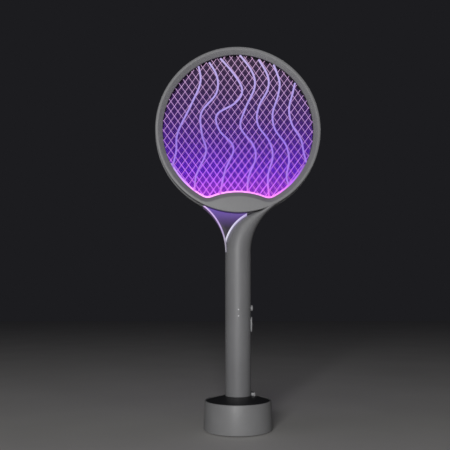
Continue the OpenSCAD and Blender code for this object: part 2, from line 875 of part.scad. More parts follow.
// A dark cone that rises to the handle's seat, with the spigot in its middle
module dock_top_cover() {
    seat_r = handle_r + 1.5;
    color(dark) difference() {
        union() {
            translate([0, 0, cover_edge_z - cover_t])
                cylinder(h = cover_t, r = cover_r - fit_gap, $fn = fine);
            translate([0, 0, cover_edge_z])
                cylinder(h = seat_z - cover_edge_z, r1 = cover_r - fit_gap, r2 = seat_r, $fn = fine);
            translate([0, 0, seat_z - 1]) cylinder(h = spigot_h, r = spigot_r, $fn = fine);
            translate([0, 0, seat_z + spigot_h - 1])
                cylinder(h = 1, r1 = spigot_r, r2 = spigot_r - 1, $fn = fine);
        }
        translate([0, 0, cover_edge_z - cover_t - 1])
            cylinder(h = seat_z - cover_edge_z, r1 = cover_r - 4, r2 = seat_r - 2, $fn = fine);
        translate([0, 0, 1])
            cylinder(h = carrier_top - spigot_wall - 1, r = spigot_r - spigot_wall, $fn = fine);
        for (s = [-1, 1]) translate([s * pin_x, 0, seat_z])
            cylinder(h = 2 * spigot_h, r = pin_r + 0.2, $fn = small);
        lug_shape(fit_gap, 3);
    }
}

// A crescent that stands behind the handle's right side and keeps it from turning
module lug_shape(more, down) {
    translate([0, 0, seat_z - down]) difference() {
        translate([1.5, 1.5, 0]) cylinder(h = down + lug_h, r = lug_r - 2.2 + more, $fn = fine);
        translate([0, 0, -1]) cylinder(h = down + lug_h + 2, r = handle_r + 0.4 - more, $fn = fine);
        translate([-100, -200 + 1, -1]) cube([200, 200, 50]);
        translate([-200 + 4, -100, -1]) cube([200, 200, 50]);
    }
}

module dock_locating_lug() {
    color("#8c8c8c") lug_shape(0, 2);
}

module dock_base_plate() {
    color(plastic) difference() {
        translate([0, 0, foot_h]) cylinder(h = base_t, r = dock_top_r - dock_wall - 0.1, $fn = fine);
        foot_groove(0);
        for (p = dock_posts) translate([p[0], p[1], 0]) cylinder(h = 20, r = 1.5, $fn = small);
    }
}

module foot_groove(gap) {
    difference() {
        cylinder(h = foot_h + 0.8 - gap, r = foot_r - gap, $fn = fine);
        translate([0, 0, -1]) cylinder(h = 9, r = foot_r - foot_w + gap, $fn = fine);
    }
}

module dock_foot_ring() {
    color("#1a1a1a") intersection() {
        foot_groove(0.02);
        cylinder(h = 2 * foot_h, r = dock_r, $fn = fine);
    }
}

module dock_ballast() {
    color("#8a8d90") translate([0, 0, foot_h + base_t]) difference() {
        cylinder(h = ballast_t, r = ballast_r, $fn = fine);
        translate([-usb_w / 2 - 4, ballast_r - 9, -1]) cube([usb_w + 8, 20, 30]);
        for (p = dock_posts) translate([p[0], p[1], -1]) cylinder(h = 30, r = 3.2, $fn = small);
    }
}

module dock_screws() {
    color(bright_metal) for (p = dock_posts) translate([p[0], p[1], foot_h + 0.85])
        cylinder(h = base_t + 7, r = 1.2, $fn = small);
}

module dock_circuit_board() {
    color(board_green) translate([-10, 12, dock_board_z]) cube([20, dock_top_r - dock_wall - 15, board_t]);
}

module dock_usb_socket() {
    depth = 7.5;
    front = sqrt(pow(dock_top_r, 2) - pow(usb_w / 2, 2)) - 0.8;
    color(bright_metal) translate([0, front, usb_z]) rotate([90, 0, 0]) difference() {
        linear_extrude(height = depth) stadium(usb_w, usb_h);
        translate([0, 0, -1]) linear_extrude(height = depth - 1) difference() {
            stadium(usb_w - 0.6, usb_h - 0.6);
            square([usb_w - 3, 0.7], center = true);
        }
    }
}

module stadium(w, h) {
    square([w - h, h], center = true);
    for (s = [-1, 1]) translate([s * (w - h) / 2, 0]) circle(d = h, $fn = medium);
}

// Holds the springs and guides the pins inside the spigot
module pin_carrier() {
    top = carrier_top - spigot_wall;
    flange_top = seat_z - cover_t - 1;
    color("#3a3a3a") difference() {
        union() {
            translate([0, 0, flange_top - 2])
                cylinder(h = top - flange_top + 2, r = spigot_r - spigot_wall - fit_gap, $fn = medium);
            translate([0, 0, flange_top - 2]) cylinder(h = 2 - fit_gap, r = spigot_r + 1.5, $fn = medium);
        }
        for (s = [-1, 1]) translate([s * pin_x, 0, pin_flange_z - spring_len])
            cylinder(h = top, r = pin_r + pin_shoulder + 0.2, $fn = small);
    }
}

module pin_springs() {
    n = 10;
    z0 = pin_flange_z - spring_len;
    color(bright_metal) for (s = [-1, 1]) wire(
        [for (i = [0 : n * spring_turns])
            let (a = 360 * i / n)
            [s * pin_x + spring_r * cos(a), spring_r * sin(a),
                z0 + spring_wire + (spring_len - 2 * spring_wire) * i / (n * spring_turns)]
        ], spring_wire);
}

module charge_pins() {
    color("#c9a24a") for (s = [-1, 1]) translate([s * pin_x, 0, 0]) union() {
        translate([0, 0, pin_flange_z]) cylinder(h = 0.8, r = pin_r + pin_shoulder, $fn = small);
        translate([0, 0, pin_flange_z]) cylinder(h = pin_top - pin_flange_z - 0.5, r = pin_r, $fn = small);
        translate([0, 0, pin_top - 0.5]) cylinder(h = 0.5, r1 = pin_r, r2 = pin_r - 0.4, $fn = small);
    }
}

front_frame();
rear_frame();
front_ribs();
rear_clamp_ring();
front_guard_mesh();
rear_guard_mesh();
front_spacer();
rear_spacer();
high_voltage_grid();
light_guide();
head_led_board();
head_uv_leds();
head_screws();
neck_front_shell();
neck_rear_shell();
neck_collar();
neck_light_lens();
left_light_strip();
right_light_strip();
neck_led_board();
high_voltage_leads();
handle_tube();
handle_end_cap();
contact_pads();
battery_cell();
battery_contacts();
main_board();
transformer();
storage_capacitor();
button_switch();
slide_switch();
switch_bezel();
indicator_light_pipes();
indicator_leds();
trigger_button();
mode_slider();
dock_shell();
dock_top_cover();
dock_locating_lug();
dock_base_plate();
dock_foot_ring();
dock_ballast();
dock_screws();
dock_circuit_board();
dock_usb_socket();
pin_carrier();
pin_springs();
charge_pins();
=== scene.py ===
import math

import bmesh
import bpy
import numpy as np
from mathutils import Matrix, Vector


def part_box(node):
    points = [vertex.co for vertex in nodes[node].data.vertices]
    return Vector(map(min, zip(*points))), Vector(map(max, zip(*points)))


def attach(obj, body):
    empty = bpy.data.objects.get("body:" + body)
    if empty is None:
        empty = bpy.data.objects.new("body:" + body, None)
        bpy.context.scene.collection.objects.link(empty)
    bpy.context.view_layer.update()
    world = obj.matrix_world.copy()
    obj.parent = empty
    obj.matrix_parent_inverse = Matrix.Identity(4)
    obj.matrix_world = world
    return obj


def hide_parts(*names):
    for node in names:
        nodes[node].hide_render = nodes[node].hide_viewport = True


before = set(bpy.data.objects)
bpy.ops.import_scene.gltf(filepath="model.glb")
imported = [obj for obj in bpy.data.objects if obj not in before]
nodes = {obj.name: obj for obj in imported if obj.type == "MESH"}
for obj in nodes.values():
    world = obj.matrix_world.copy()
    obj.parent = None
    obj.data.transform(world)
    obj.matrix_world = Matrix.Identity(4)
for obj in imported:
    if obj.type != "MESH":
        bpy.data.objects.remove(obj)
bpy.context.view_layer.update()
MM = 0.001
scene = bpy.context.scene


# ---- Camera ----
# A level camera in front of the racket, a little to its left, with the view shifted up to the head.
def place(name, data, at=(0, 0, 0), turn=(0, 0, 0)):
    """Adds an object for that data to the scene, at that place and turned by those angles in degrees."""
    thing = bpy.data.objects.new(name, data)
    thing.location = at
    thing.rotation_euler = [math.radians(angle) for angle in turn]
    scene.collection.objects.link(thing)
    return thing


camera_far = 768 * MM
camera_high = 166 * MM
camera_side = 2
camera_turn = math.radians(camera_side)
camera = place(
    "camera", bpy.data.cameras.new("camera"),
    (-camera_far * math.sin(camera_turn), -camera_far * math.cos(camera_turn), camera_high),
    (90, 0, -camera_side),
)
camera.data.lens = 48
camera.data.shift_x = -0.029
camera.data.shift_y = 0.167
camera.data.clip_start = 0.01
scene.camera = camera
scene.view_settings.view_transform = "Standard"


# ---- Floor ----
# A plain pale laminate table top with a soft, slightly uneven sheen.
def srgb(colour):
    """An sRGB hex colour as linear RGBA."""
    parts = [int(colour[i:i + 2], 16) / 255 for i in (1, 3, 5)]
    return [p / 12.92 if p <= 0.04045 else ((p + 0.055) / 1.055) ** 2.4 for p in parts] + [1]


def add_node(tree, kind, inputs=None, **settings):
    """Adds a node; an input that is given a socket is linked to it, and any other value is set."""
    node = tree.nodes.new(kind)
    for name, value in settings.items():
        setattr(node, name, value)
    for name, value in (inputs or {}).items():
        if isinstance(value, bpy.types.NodeSocket):
            tree.links.new(value, node.inputs[name])
        else:
            node.inputs[name].default_value = value
    return node


def new_finish(name):
    """A material with nothing in it yet but its output, and the object's own coordinates."""
    finish = bpy.data.materials.new(name)
    finish.use_nodes = True
    tree = finish.node_tree
    tree.nodes.clear()
    return finish, tree, add_node(tree, "ShaderNodeTexCoord").outputs["Object"]


def close_finish(tree, shader):
    add_node(tree, "ShaderNodeOutputMaterial", {"Surface": shader.outputs[0]})


def colour_band(tree, fac, stops):
    """A colour ramp of (place, hex colour) stops."""
    band = add_node(tree, "ShaderNodeValToRGB", {"Fac": fac})
    while len(band.color_ramp.elements) < len(stops):
        band.color_ramp.elements.new(0.5)
    for element, (at, colour) in zip(band.color_ramp.elements, stops):
        element.position = at
        element.color = srgb(colour)
    return band.outputs["Color"]


table_finish, tree, where = new_finish("pale_laminate")
patches = add_node(tree, "ShaderNodeTexNoise", {"Vector": where, "Scale": 6.0, "Detail": 3.0})
close_finish(tree, add_node(tree, "ShaderNodeBsdfPrincipled", {
    "Base Color": colour_band(tree, patches.outputs["Fac"], [(0.3, "#cfcdca"), (0.7, "#d6d4d1")]),
    "Roughness": 0.6,
}))
table = bmesh.new()
bmesh.ops.create_grid(table, x_segments=1, y_segments=1, size=4)
table_mesh = bpy.data.meshes.new("table_top")
table.to_mesh(table_mesh)
table_mesh.materials.append(table_finish)
place("table_top", table_mesh, (0, 0, -0.05 * MM))


# ---- Studio light ----
# A soft box in front of the object, a little to its left, a weak one at its left side, and dim walls.
def soft_box(name, at, aim, size, watts):
    box = bpy.data.lights.new(name, "AREA")
    box.shape = "RECTANGLE"
    box.size, box.size_y = size
    box.energy = watts
    lamp = place(name, box, at)
    lamp.rotation_euler = (Vector(aim) - Vector(at)).to_track_quat("-Z", "Y").to_euler()


soft_box("key_light", (-0.3, -2.0, 0.5), (0, 0, 0.22), (0.75, 0.75), 27)
soft_box("side_light", (-1.5, -0.7, 0.5), (0, 0, 0.2), (0.8, 0.8), 0.5)
scene.world = bpy.data.worlds.new("dim_room")
scene.world.use_nodes = True
scene.world.node_tree.nodes["Background"].inputs["Color"].default_value = srgb("#1c1c1f")
scene.world.node_tree.nodes["Background"].inputs["Strength"].default_value = 1.0


# ---- Dock base: plate, foot ring, ballast, screws, circuit board and USB socket ----
# The moulded plate carries a steel disc for weight and stands on a soft foot ring let into its underside.
# These pieces keep their shapes from the frame and get their own finishes.
def moulded_plastic(name, colours, roughness, grain=0.9 * MM, relief=0.05 * MM):
    """A moulded thermoplastic: a fine spark-eroded grain, drawn coarse enough to show, and a faint cloud."""
    finish, tree, where = new_finish(name)
    cloud = add_node(tree, "ShaderNodeTexNoise", {
        "Vector": where, "Scale": 18.0, "Detail": 4.0, "Roughness": 0.6,
    })
    grit = add_node(tree, "ShaderNodeTexNoise", {"Vector": where, "Scale": 1 / grain, "Detail": 2.0})
    bump = add_node(tree, "ShaderNodeBump", {
        "Height": grit.outputs["Fac"], "Strength": 0.35, "Distance": relief,
    })
    rough = add_node(tree, "ShaderNodeMapRange", {
        "Value": cloud.outputs["Fac"], "From Min": 0.3, "From Max": 0.7,
        "To Min": roughness - 0.05, "To Max": roughness + 0.06,
    })
    close_finish(tree, add_node(tree, "ShaderNodeBsdfPrincipled", {
        "Base Color": colour_band(tree, cloud.outputs["Fac"], [(0.3, colours[0]), (0.7, colours[1])]),
        "Roughness": rough.outputs["Result"], "IOR": 1.5, "Normal": bump.outputs["Normal"],
    }))
    return finish


def brushed_metal(name, colours, roughness, stretch=(1, 1, 40)):
    """A metal with fine scratches that run one way, and colour and roughness that follow them."""
    finish, tree, where = new_finish(name)
    along = add_node(tree, "ShaderNodeMapping", {"Vector": where, "Scale": stretch})
    lines = add_node(tree, "ShaderNodeTexNoise", {
        "Vector": along.outputs["Vector"], "Scale": 90.0, "Detail": 5.0,
    })
    rough = add_node(tree, "ShaderNodeMapRange", {
        "Value": lines.outputs["Fac"], "To Min": roughness - 0.08, "To Max": roughness + 0.1,
    })
    close_finish(tree, add_node(tree, "ShaderNodeBsdfPrincipled", {
        "Base Color": colour_band(tree, lines.outputs["Fac"], [(0.3, colours[0]), (0.7, colours[1])]),
        "Metallic": 1.0, "Roughness": rough.outputs["Result"],
    }))
    return finish


def finish_node(name, finish):
    """Gives a piece that keeps its shape from the frame its finish."""
    mesh = nodes[name].data
    mesh.materials.clear()
    mesh.materials.append(finish)


# ABS with a matt moulded face
grey_abs = moulded_plastic("moulded_grey_abs", ("#757577", "#7c7c7e"), 0.48)
dock_abs = moulded_plastic("moulded_dock_abs", ("#7b7b7c", "#838384"), 0.46)
near_black_lid = moulded_plastic("moulded_near_black_lid", ("#202022", "#27272a"), 0.42)
black_abs = moulded_plastic("moulded_black_abs", ("#151516", "#1b1b1d"), 0.5)
# silicone rubber, dull and dusty
foot_rubber = moulded_plastic("silicone_foot_rubber", ("#161616", "#202020"), 0.78, 1.5 * MM, 0.08 * MM)
# zinc plated steel, brass and gold flashed contacts
plated_steel = brushed_metal("zinc_plated_steel", ("#a9adb0", "#c9ccce"), 0.32)
ballast_steel = brushed_metal("sawn_ballast_steel", ("#6c6f72", "#8e9194"), 0.5, (40, 1, 1))
spring_steel = brushed_metal("drawn_spring_steel", ("#9a9ea2", "#bcc0c4"), 0.25)
contact_brass = brushed_metal("gold_flashed_brass", ("#b8923c", "#d9b45c"), 0.28)
# glass fibre board under green solder mask
circuit_board = moulded_plastic("green_solder_mask", ("#14502f", "#1b6139"), 0.3, 1.2 * MM, 0.02 * MM)
for name, finish in {
    "dock_base_plate": grey_abs, "dock_foot_ring": foot_rubber, "dock_ballast": ballast_steel,
    "dock_screws": plated_steel, "dock_circuit_board": circuit_board, "dock_usb_socket": plated_steel,
    "pin_carrier": black_abs, "pin_springs": spring_steel, "charge_pins": contact_brass,
}.items():
    finish_node(name, finish)


# ---- Dock shell ----
# A moulded cup of grey ABS that narrows towards its top, with soft edges and a slot for the USB socket.
# The base plate closes it from below, and the lid lies in a rebate in its rim.
def finished(bm, name, finish, body, replaces=(), smooth=35):
    """Makes the mesh a piece that rides on a body, smooth but for edges sharper than that many degrees."""
    mesh = bpy.data.meshes.new(name)
    bm.to_mesh(mesh)
    bm.free()
    mesh.shade_smooth()
    mesh.set_sharp_from_angle(angle=math.radians(smooth))
    mesh.materials.append(finish)
    piece = place(name, mesh)
    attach(piece, body)
    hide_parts(*replaces)
    return piece


def turned(profile, steps=144):
    """A closed outline of (radius, height) points spun once round the upright axis."""
    bm = bmesh.new()
    corners = [bm.verts.new((r, 0, z)) for r, z in profile]
    edges = [bm.edges.new((a, b)) for a, b in zip(corners, corners[1:] + corners[:1])]
    bmesh.ops.spin(bm, geom=corners + edges, cent=(0, 0, 0), axis=(0, 0, 1), angle=math.tau, steps=steps,
                   use_merge=True)
    bmesh.ops.remove_doubles(bm, verts=bm.verts, dist=0.01 * MM)
    bmesh.ops.recalc_face_normals(bm, faces=bm.faces)
    return bm


def soften(bm, width, segments=3, sharper=30, pick=None):
    """Rounds the edges that are sharper than that many degrees, or those that pick says yes to."""
    edges = [
        e for e in bm.edges
        if len(e.link_faces) == 2 and e.calc_face_angle(0) > math.radians(sharper)
        and (pick is None or pick(e))
    ]
    bmesh.ops.bevel(bm, geom=edges, offset=width, offset_type="OFFSET", segments=segments, profile=0.5,
                    affect="EDGES", material=-1, clamp_overlap=True)


def cut_away(piece, cutter):
    """Cuts a closed mesh out of a piece, and removes the cutter."""
    mesh = bpy.data.meshes.new("cutter")
    bmesh.ops.recalc_face_normals(cutter, faces=cutter.faces)
    cutter.to_mesh(mesh)
    cutter.free()
    tool = place("cutter", mesh)
    cut = piece.modifiers.new("cut", "BOOLEAN")
    cut.object = tool
    cut.solver = "EXACT"
    seen = piece.evaluated_get(bpy.context.evaluated_depsgraph_get())
    result = bpy.data.meshes.new_from_object(seen)
    piece.modifiers.clear()
    piece.data = result
    result.name = piece.name
    bpy.data.objects.remove(tool)


dock_low, dock_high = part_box("dock_shell")
dock_foot_r = dock_high.x
dock_edge_r = dock_foot_r - 1.5 * MM
dock_wall = 2.4 * MM
# the lid lies in the rim's rebate, on a ledge that stands in from the wall
rim_top_r = dock_edge_r - 1.6 * MM
rebate_z = dock_high.z - 2.8 * MM
wall_r = dock_edge_r - dock_wall
ledge_r = dock_edge_r - dock_wall - 1.4 * MM
bm = turned([
    (dock_foot_r, dock_low.z), (dock_edge_r, dock_high.z), (rim_top_r, dock_high.z), (rim_top_r, rebate_z),
    (ledge_r, rebate_z), (ledge_r, dock_high.z - 6 * MM), (wall_r, dock_high.z - 7.4 * MM),
    (wall_r, dock_low.z),
])
soften(bm, 1.0 * MM, 4, pick=lambda e: e.verts[0].co.xy.length > dock_edge_r - 0.1 * MM)
dock_cup = finished(bm, "dock_cup", dock_abs, "dock", ["dock_shell"])
socket_low, socket_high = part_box("dock_usb_socket")
slot_size = Vector((socket_high.x - socket_low.x + 1 * MM, 16 * MM, socket_high.z - socket_low.z + 1 * MM))
slot_at = Matrix.Translation((0, socket_high.y, (socket_low.z + socket_high.z) / 2))
bm = bmesh.new()
bmesh.ops.create_cube(bm, size=1, matrix=slot_at @ Matrix.Diagonal((*slot_size, 1)))
soften(bm, 1.2 * MM, 4, pick=lambda e: abs(e.verts[0].co.y - e.verts[1].co.y) > 1 * MM)
cut_away(dock_cup, bm)


# ---- Dock top cover ----
# A lid coloured near black, far darker than the cup, that rises in a low cone to the handle's seat. The
# hollow spigot that the handle slips over is moulded with it, and two holes in the spigot's top let the
# charging pins through.
cover_low, cover_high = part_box("dock_top_cover")
cover_r = cover_high.x
handle_low, handle_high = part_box("handle_tube")
handle_r = handle_high.x
tube_wall = 2 * MM
rest_gap = 0.05 * MM
cap_skirt = 1.6 * MM
spigot_gap = 0.4 * MM
seat_z = handle_low.z - rest_gap
spigot_r = handle_r - tube_wall - rest_gap - cap_skirt - spigot_gap
bm = turned([
    (cover_r, cover_low.z), (cover_r, cover_low.z + 2 * MM), (handle_r + 1.5 * MM, seat_z),
    (spigot_r, seat_z), (spigot_r, cover_high.z), (spigot_r - 2 * MM, cover_high.z),
    (spigot_r - 2 * MM, seat_z - 1 * MM), (handle_r - 1 * MM, seat_z - 2 * MM),
    (cover_r - 4 * MM, cover_low.z),
])
soften(bm, 0.5 * MM, 3)
finished(bm, "dock_lid", near_black_lid, "dock", ["dock_top_cover"])
bm = turned([
    (0.001 * MM, cover_high.z - 2 * MM), (spigot_r - 1.9 * MM, cover_high.z - 2 * MM),
    (spigot_r - 1.9 * MM, cover_high.z), (0.001 * MM, cover_high.z),
], 96)
spigot_top = finished(bm, "spigot_top", near_black_lid, "dock")
pin_flange_r = 1.7 * MM
pin_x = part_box("charge_pins")[1].x - pin_flange_r
bm = bmesh.new()
for side in (-1, 1):
    bmesh.ops.create_cone(bm, cap_ends=True, segments=32, radius1=1.2 * MM, radius2=1.2 * MM, depth=10 * MM,
                          matrix=Matrix.Translation((side * pin_x, 0, cover_high.z)))
cut_away(spigot_top, bm)


# ---- Locating lug ----
# A crescent of paler ABS let into the lid, which keeps the handle from turning on its spigot.
def from_frame(node, width, segments=2, sharper=35):
    """A merged copy of a frame piece's mesh with its sharp edges rounded."""
    bm = bmesh.new()
    bm.from_mesh(nodes[node].data)
    bmesh.ops.remove_doubles(bm, verts=bm.verts, dist=0.005 * MM)
    bmesh.ops.dissolve_limit(bm, angle_limit=math.radians(0.8), verts=bm.verts, edges=bm.edges,
                             use_dissolve_boundaries=False)
    soften(bm, width, segments, sharper)
    return bm


pale_abs = moulded_plastic("moulded_pale_abs", ("#858587", "#8e8e90"), 0.45)
finished(from_frame("dock_locating_lug", 0.35 * MM), "locating_lug", pale_abs, "dock",
         ["dock_locating_lug"])


# ---- Handle: tube, end cap, contact pads, cell and electronics ----
# The handle is a straight tube of the body's grey ABS, rounded at its lower end, with a hole for the button.
# What it hides keeps its shape from the frame.
bm = turned([
    (handle_r, handle_low.z), (handle_r, handle_high.z), (handle_r - tube_wall, handle_high.z),
    (handle_r - tube_wall, handle_low.z),
], 160)
soften(bm, 0.8 * MM, 4, pick=lambda e: e.verts[0].co.z < handle_low.z + 1 * MM)
handle = finished(bm, "handle_barrel", grey_abs, "swatter", ["handle_tube"])
button_low, button_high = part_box("trigger_button")
button_z = (button_low.z + button_high.z) / 2
button_r = 3.8 * MM
across = Matrix.Rotation(math.radians(90), 4, "Y")
bm = bmesh.new()
hole_r = button_r + 0.25 * MM
bmesh.ops.create_cone(bm, cap_ends=True, segments=64, radius1=hole_r, radius2=hole_r, depth=12 * MM,
                      matrix=Matrix.Translation((handle_r, 0, button_z)) @ across)
cut_away(handle, bm)
finish_node("handle_end_cap", black_abs)
finish_node("contact_pads", contact_brass)
finish_node("battery_contacts", plated_steel)
finish_node("main_board", circuit_board)
finish_node("button_switch", black_abs)
finish_node("slide_switch", plated_steel)
# PVC shrink sleeve, enamelled copper on a bobbin and a lacquered film capacitor
finish_node("battery_cell",
            moulded_plastic("pvc_shrink_sleeve", ("#2a5790", "#33669f"), 0.3, 3 * MM, 0.03 * MM))
finish_node("transformer",
            brushed_metal("enamelled_copper_winding", ("#9c6a22", "#c48a3a"), 0.4, (1, 1, 60)))
finish_node("storage_capacitor", moulded_plastic("lacquered_capacitor", ("#6f2620", "#832f27"), 0.28))
finish_node("indicator_leds", moulded_plastic("led_epoxy", ("#e2dcc4", "#eee8d2"), 0.25, 2 * MM, 0.01 * MM))


# ---- Controls: trigger button, switch plate, mode slider and lamp windows ----
# They sit on the handle's right side: a domed button over a raised plate with a small ribbed slider.
control_abs = moulded_plastic("moulded_control_abs", ("#8a8a8c", "#949496"), 0.4)
tip = button_high.x
bm = bmesh.new()
bmesh.ops.create_cone(bm, cap_ends=True, segments=64, radius1=button_r, radius2=button_r,
                      depth=tip - button_low.x,
                      matrix=Matrix.Translation(((tip + button_low.x) / 2, 0, button_z)) @ across)
crown = [f for f in bm.faces if f.normal.x > 0.9]
bmesh.ops.inset_region(bm, faces=crown, thickness=1.6 * MM, depth=0)
crown_rim = [v for v in bm.verts if v.co.x > tip - 0.01 * MM
             and (v.co - Vector((tip, 0, button_z))).length > 3 * MM]
bmesh.ops.translate(bm, verts=crown_rim, vec=(-0.5 * MM, 0, 0))
soften(bm, 0.5 * MM, 4, 50)
finished(bm, "trigger_dome", control_abs, "trigger_button", ["trigger_button"], 50)
finished(from_frame("switch_bezel", 0.3 * MM), "switch_plate", control_abs, "swatter",
         ["switch_bezel"])
slider_low, slider_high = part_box("mode_slider")
slider_mid = (slider_low + slider_high) / 2
pad_back = slider_high.x - 1.1 * MM
bm = bmesh.new()
bmesh.ops.create_cube(bm, size=1, matrix=Matrix.Translation((pad_back + 0.3 * MM, 0, slider_mid.z))
                      @ Matrix.Diagonal((0.6 * MM, 4.4 * MM, 4 * MM, 1)))
for step in (-1.5, -0.5, 0.5, 1.5):
    ridge_at = Matrix.Translation((slider_high.x - 0.35 * MM, 0, slider_mid.z + step * MM))
    bmesh.ops.create_cube(bm, size=1, matrix=ridge_at @ Matrix.Diagonal((0.7 * MM, 4.0 * MM, 0.45 * MM, 1)))
bmesh.ops.create_cube(bm, size=1, matrix=Matrix.Translation(((slider_low.x + pad_back) / 2, 0, slider_mid.z))
                      @ Matrix.Diagonal((pad_back - slider_low.x + 0.1 * MM, 2 * MM, 2.4 * MM, 1)))
soften(bm, 0.1 * MM, 2)
finished(bm, "mode_thumb_pad", black_abs, "mode_slider", ["mode_slider"])
# clear acrylic with a frosted end
finish, tree, where = new_finish("frosted_light_pipe")
haze = add_node(tree, "ShaderNodeTexNoise", {"Vector": where, "Scale": 900.0, "Detail": 2.0})
rough = add_node(tree, "ShaderNodeMapRange", {"Value": haze.outputs["Fac"], "To Min": 0.3, "To Max": 0.6})
close_finish(tree, add_node(tree, "ShaderNodeBsdfPrincipled", {
    "Base Color": colour_band(tree, haze.outputs["Fac"], [(0.3, "#b9babd"), (0.7, "#c9cacd")]),
    "Roughness": rough.outputs["Result"], "IOR": 1.49,
}))
finish_node("indicator_light_pipes", finish)


# ---- Neck: the arm's two shells, the collar and the leads ----
# The handle grows in one curve into the head's rim. The arm is moulded as a front and a rear shell of
# grey ABS, glued along a fine seam.
rim_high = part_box("rear_frame")[1]
face_low, face_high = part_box("front_frame")
head_z = (face_low.z + face_high.z) / 2
head_r = face_high.x
rim_r = rim_high.x
head_depth = -face_low.y
neck_z = handle_high.z
neck_rise = head_z - neck_z
neck_r = 71 * MM
arc_x = handle_r + neck_r
arm_r = (handle_r ** 2 + neck_rise ** 2 - rim_r ** 2) / (2 * (rim_r + handle_r))
arm_x = arm_r - handle_r
outer_sweep = math.atan2(neck_rise, arc_x)
inner_sweep = math.atan2(neck_rise, arm_x)
inner_share = 0.72
arm_bury = 7 * MM
shell_wall = 1.6 * MM


def ease(t):
    return t * t * (3 - 2 * t)


def arm_edges(s):
    """The arm's inner and outer edge, in the head's plane, from the handle (0) to where it runs out (1)."""
    a = outer_sweep * s
    outer = Vector((arc_x - neck_r * math.cos(a), 0, neck_z + neck_r * math.sin(a)))
    if s < inner_share:
        a = inner_sweep * s / inner_share
        return Vector((arm_x - arm_r * math.cos(a), 0, neck_z + arm_r * math.sin(a))), outer
    t = (s - inner_share) / (1 - inner_share)
    a = inner_sweep + (outer_sweep - inner_sweep) * t
    r = rim_r - arm_bury * ease(t)
    return Vector((r * math.cos(a), 0, head_z - r * math.sin(a))), outer


def loop_of(bm, points):
    """A closed loop of new vertices; its edges are returned."""
    corners = [bm.verts.new(p) for p in points]
    return [bm.edges.new((a, b)) for a, b in zip(corners, corners[1:] + corners[:1])]


def strip_of(bm, points):
    """An open chain of new vertices; its edges are returned."""
    corners = [bm.verts.new(p) for p in points]
    return [bm.edges.new((a, b)) for a, b in zip(corners, corners[1:])]


def arm_section(s, facing):
    """One side of the arm's section, round at the handle and squarer at the rim."""
    inner, outer = arm_edges(s)
    middle = (inner + outer) / 2
    half = max((outer - inner).length / 2, 0.6 * MM)
    along = (outer - inner).normalized()
    depth = handle_r + (head_depth - 0.25 * MM - handle_r) * ease(min(s / 0.8, 1))
    power = 1 - 0.4 * ease(s)
    steps = 28
    points = []
    for k in range(steps + 1):
        a = math.pi * k / steps
        seam = 1 - 0.35 * MM / half * (1 if k in (0, steps) else 0)
        reach = half * math.copysign(abs(math.cos(a)) ** power, math.cos(a)) * seam
        sunk = max(math.sin(a) ** power * depth, 0.12 * MM)
        points.append(middle - along * reach + Vector((0, facing * sunk, 0)))
    return points


for name, facing, node in (("neck_front_half", -1, "neck_front_shell"),
                           ("neck_rear_half", 1, "neck_rear_shell")):
    bm = bmesh.new()
    steps = 44
    last = strip_of(bm, arm_section(0, facing))
    for i in range(1, steps + 1):
        ring = strip_of(bm, arm_section(i / steps, facing))
        bmesh.ops.bridge_loops(bm, edges=last + ring)
        last = ring
    bmesh.ops.recalc_face_normals(bm, faces=bm.faces)
    if sum(f.normal.y * f.calc_area() for f in bm.faces) * facing < 0:
        bmesh.ops.reverse_faces(bm, faces=bm.faces)
    bmesh.ops.solidify(bm, geom=bm.faces[:], thickness=shell_wall)
    finished(bm, name, grey_abs, "swatter", [node], 40)
finish_node("neck_collar", black_abs)
# PVC insulated flexible wire
finish_node("high_voltage_leads", moulded_plastic("red_pvc_insulation", ("#8c1c1c", "#a32424"), 0.4, 2 * MM))


# ---- Neck lamp: lens, light strips and lamp board ----
# A violet acrylic lens fills the fork of the neck between two light strips. The glow on the lens and the
# strips is painted light, dim at the bottom and brighter higher up; the left strip's glow is also dimmed as
# painted shade where it faces sideways.
def lit_by_height(name, low, high, lit, strength, body_colour, roughness, texture=0.0, sides=1.0):
    """A glowing surface: its glow's colour runs from low to high, both heights in metres; on a piece that is
    no lamp the glow is painted light. sides is how much of the glow is left where the surface faces
    sideways, a painted shade."""
    finish, tree, where = new_finish(name)
    height = add_node(tree, "ShaderNodeSeparateXYZ", {"Vector": where}).outputs["Z"]
    rise = add_node(tree, "ShaderNodeMapRange", {"Value": height, "From Min": low, "From Max": high})
    ripple = add_node(tree, "ShaderNodeTexNoise", {"Vector": where, "Scale": 140.0, "Detail": 3.0})
    uneven = add_node(tree, "ShaderNodeMapRange", {
        "Value": ripple.outputs["Fac"], "From Min": 0.25, "From Max": 0.75,
        "To Min": strength * (1 - texture), "To Max": strength * (1 + texture),
    })
    glow = uneven.outputs["Result"]
    # painted shade: the glow is dimmed where the surface faces sideways
    if sides < 1:
        normal = add_node(tree, "ShaderNodeNewGeometry").outputs["Normal"]
        facing = add_node(tree, "ShaderNodeSeparateXYZ", {"Vector": normal}).outputs["Y"]
        painted_side_shade = add_node(tree, "ShaderNodeMapRange", {
            "Value": facing, "From Min": -0.2, "From Max": -0.8, "To Min": sides, "To Max": 1.0})
        dimmed = add_node(tree, "ShaderNodeMath", {0: glow, 1: painted_side_shade.outputs["Result"]},
                          operation="MULTIPLY")
        glow = dimmed.outputs[0]
    close_finish(tree, add_node(tree, "ShaderNodeBsdfPrincipled", {
        "Base Color": srgb(body_colour), "Roughness": roughness, "IOR": 1.49,
        "Emission Color": colour_band(tree, rise.outputs["Result"], lit), "Emission Strength": glow,
    }))
    return finish


